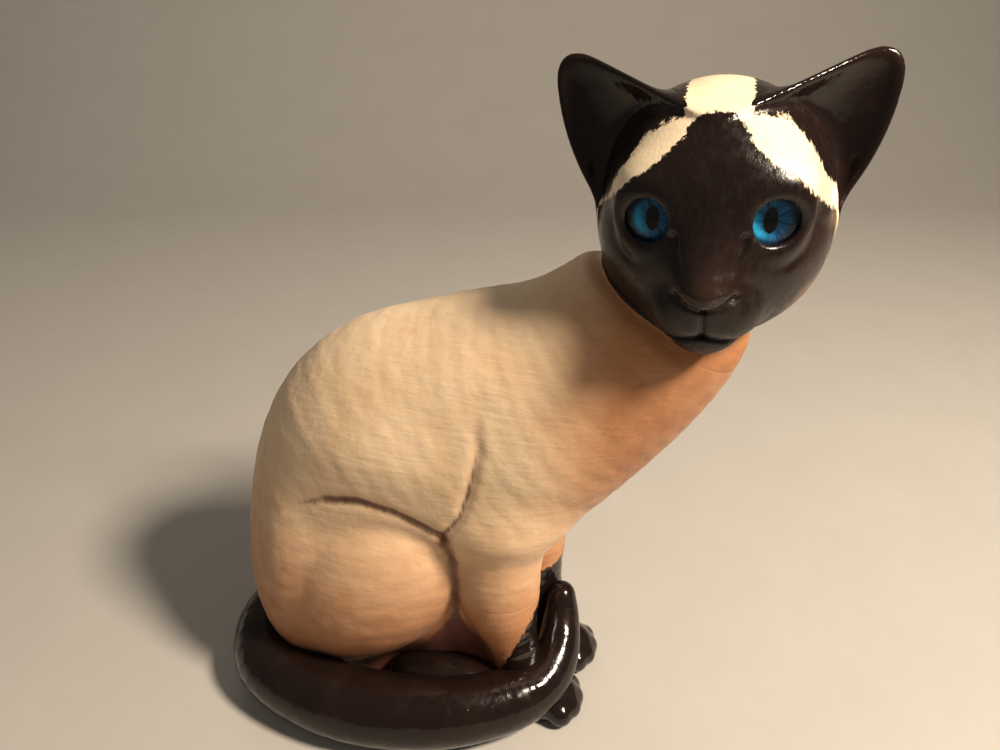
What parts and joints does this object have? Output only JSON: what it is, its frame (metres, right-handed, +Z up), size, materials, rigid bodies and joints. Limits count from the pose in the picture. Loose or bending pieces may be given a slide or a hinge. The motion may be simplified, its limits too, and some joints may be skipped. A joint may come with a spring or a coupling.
{
  "type": "ceramic cat figurine",
  "caption": "Seated slip-cast ceramic cat, head turned over its right shoulder, tail wrapped round its paws, inset blue glass eyes.",
  "frame": {"origin": "on the table, under the middle of the figure's bounding box", "axes": "+Z up; the body faces -Y; +X is the cat's own left; the head looks towards -X"},
  "size_m": [0.1448, 0.2771, 0.3135],
  "materials": {
    "cream_bisque": "matt, brushed, airbrushed tan shading",
    "brown_glaze": "glossy black-brown glaze",
    "joining_slip": "dry fired slip",
    "eye_glass": "clear, polished",
    "iris_enamel": "blue enamel on glass",
    "pupil_enamel": "black enamel on glass",
    "eye_putty": "set putty"
  },
  "bodies": {
    "root": {"body_casting": "cream_bisque", "head_casting": "brown_glaze", "tail": "brown_glaze", "neck_slip_seam": "joining_slip", "left_ear": "brown_glaze", "left_foreleg": "brown_glaze", "left_hind_paw": "brown_glaze", "left_eye_glass": "eye_glass", "left_eye_iris": "iris_enamel", "left_eye_pupil": "pupil_enamel", "left_eye_bedding": "eye_putty", "right_ear": "brown_glaze", "right_foreleg": "brown_glaze", "right_hind_paw": "brown_glaze", "right_eye_glass": "eye_glass", "right_eye_iris": "iris_enamel", "right_eye_pupil": "pupil_enamel", "right_eye_bedding": "eye_putty"}
  },
  "joints": []
}
